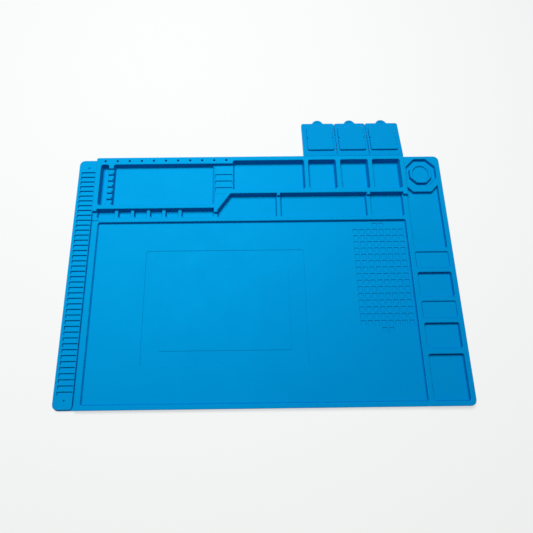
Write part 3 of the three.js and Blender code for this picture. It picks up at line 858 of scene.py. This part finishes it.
def silicone(name, dye, gloss):
    """Blue silicone of one dye, with painted shade towards deeper blue and a painted highlight towards
    paler blue, the same for all.
    """
    material = bpy.data.materials.new(name)
    material.use_nodes = True
    tree = material.node_tree
    shader = tree.nodes["Principled BSDF"]
    shader.inputs["IOR"].default_value = 1.41
    shader.inputs["Specular IOR Level"].default_value = 0.28
    shader.inputs["Specular Tint"].default_value = (0.0, 0.55, 1.0, 1)
    place = tree.nodes.new("ShaderNodeTexCoord").outputs["Object"]
    tint = placed(tree, TINT_AND_FALLOFF_GROUP)
    tree.links.new(place, tint.inputs["Vector"])
    tint.inputs["Dye"].default_value = (*dye, 1)
    tint.inputs["Deep"].default_value = (*DEEP_BLUE, 1)
    tint.inputs["Dust"].default_value = (*DUST_BLUE, 1)
    tint.inputs["Drift"].default_value = 0.12
    # strength of the painted shade towards the front and right of the mat
    tint.inputs["Slope"].default_value = 0.75
    tint.inputs["Dustiness"].default_value = 0.12
    edge = placed(tree, EDGE_GROUP)
    edge.inputs["Strength"].default_value = 0.5
    edge.inputs["Depth"].default_value = 0.7
    # painted highlight on rounded edges, then painted shade on walls and in inner corners
    colour = blended(tree, edge.outputs["Painted Highlight"], tint.outputs["Color"], HIGHLIGHT_BLUE)
    colour = blended(tree, edge.outputs["Painted Shade"], colour, SHADE_BLUE)
    tree.links.new(colour, shader.inputs["Base Color"])
    skin = placed(tree, SKIN_GROUP)
    tree.links.new(place, skin.inputs["Vector"])
    skin.inputs["Grain"].default_value = 1.0
    skin.inputs["Gloss Drift"].default_value = 0.07
    skin.inputs["Base Gloss"].default_value = gloss
    tree.links.new(skin.outputs["Roughness"], shader.inputs["Roughness"])
    bump = tree.nodes.new("ShaderNodeBump")
    bump.inputs["Strength"].default_value = 0.25
    bump.inputs["Distance"].default_value = 0.00012
    tree.links.new(skin.outputs["Height"], bump.inputs["Height"])
    tree.links.new(bump.outputs["Normal"], shader.inputs["Normal"])
    return material


# ---------------------------------------------------------------- stage, light and camera


def lay_floor():
    """Plain pale floor, a little self-lit."""
    bm = bmesh.new()
    bmesh.ops.create_grid(bm, x_segments=1, y_segments=1, size=4)
    bmesh.ops.translate(bm, verts=bm.verts, vec=(0, 0, -0.0002))
    obj = solid_object(bm, "floor")
    paper = bpy.data.materials.new("floor_paper")
    paper.use_nodes = True
    shader = paper.node_tree.nodes["Principled BSDF"]
    shader.inputs["Base Color"].default_value = (0.25, 0.255, 0.252, 1)
    shader.inputs["Emission Color"].default_value = (0.99, 1.0, 0.995, 1)
    shader.inputs["Emission Strength"].default_value = 0.645
    shader.inputs["Roughness"].default_value = 0.8
    shader.inputs["Specular IOR Level"].default_value = 0.1
    obj.data.materials.append(paper)


def soft_light(name, place, size, power):
    """Square lamp aimed at the middle of the mat."""
    lamp = bpy.data.objects.new(name, bpy.data.lights.new(name, "AREA"))
    lamp.data.shape = "SQUARE"
    lamp.data.size = size
    lamp.data.energy = power
    lamp.location = place
    lamp.rotation_euler = (-Vector(place)).to_track_quat("-Z", "Y").to_euler()
    bpy.context.scene.collection.objects.link(lamp)


def studio():
    """Soft overhead lamp, even surroundings and the camera."""
    bpy.context.scene.view_settings.view_transform = "Standard"
    world = bpy.data.worlds.new("studio")
    bpy.context.scene.world = world
    world.use_nodes = True
    sky = world.node_tree.nodes["Background"]
    sky.inputs["Color"].default_value = (0.98, 1.0, 0.99, 1)
    seen = world.node_tree.nodes.new("ShaderNodeLightPath")
    glow = spread(world.node_tree, seen.outputs["Is Camera Ray"], 0, 1, 0.1, 0.85)
    world.node_tree.links.new(glow, sky.inputs["Strength"])
    soft_light("overhead", (-0.15, 0.40, 1.12), 0.6, 17.6)
    camera = bpy.data.objects.new("camera", bpy.data.cameras.new("camera"))
    bpy.context.scene.collection.objects.link(camera)
    camera.data.sensor_width = 36
    camera.data.lens = 30.45
    camera.data.shift_x = 0.0306
    camera.data.shift_y = -0.0028
    camera.location = (-0.0159, -0.1520, 0.5041)
    camera.rotation_euler = (math.radians(17.92), math.radians(-0.10), math.radians(-0.72))
    bpy.context.scene.camera = camera


# ---------------------------------------------------------------- the tray

MAT_SILICONE = silicone("mat_silicone", (0.0, 0.29, 0.62), gloss=0.52)
LID_SILICONE = silicone("lid_silicone", (0.0, 0.245, 0.56), gloss=0.5)

mat_moulding(MAT_SILICONE)
tool_rack_strip(MAT_SILICONE)
cup_boss(MAT_SILICONE)
for number in range(3):
    lid(number, LID_SILICONE)
    hinge_web(number, LID_SILICONE)

lay_floor()
studio()
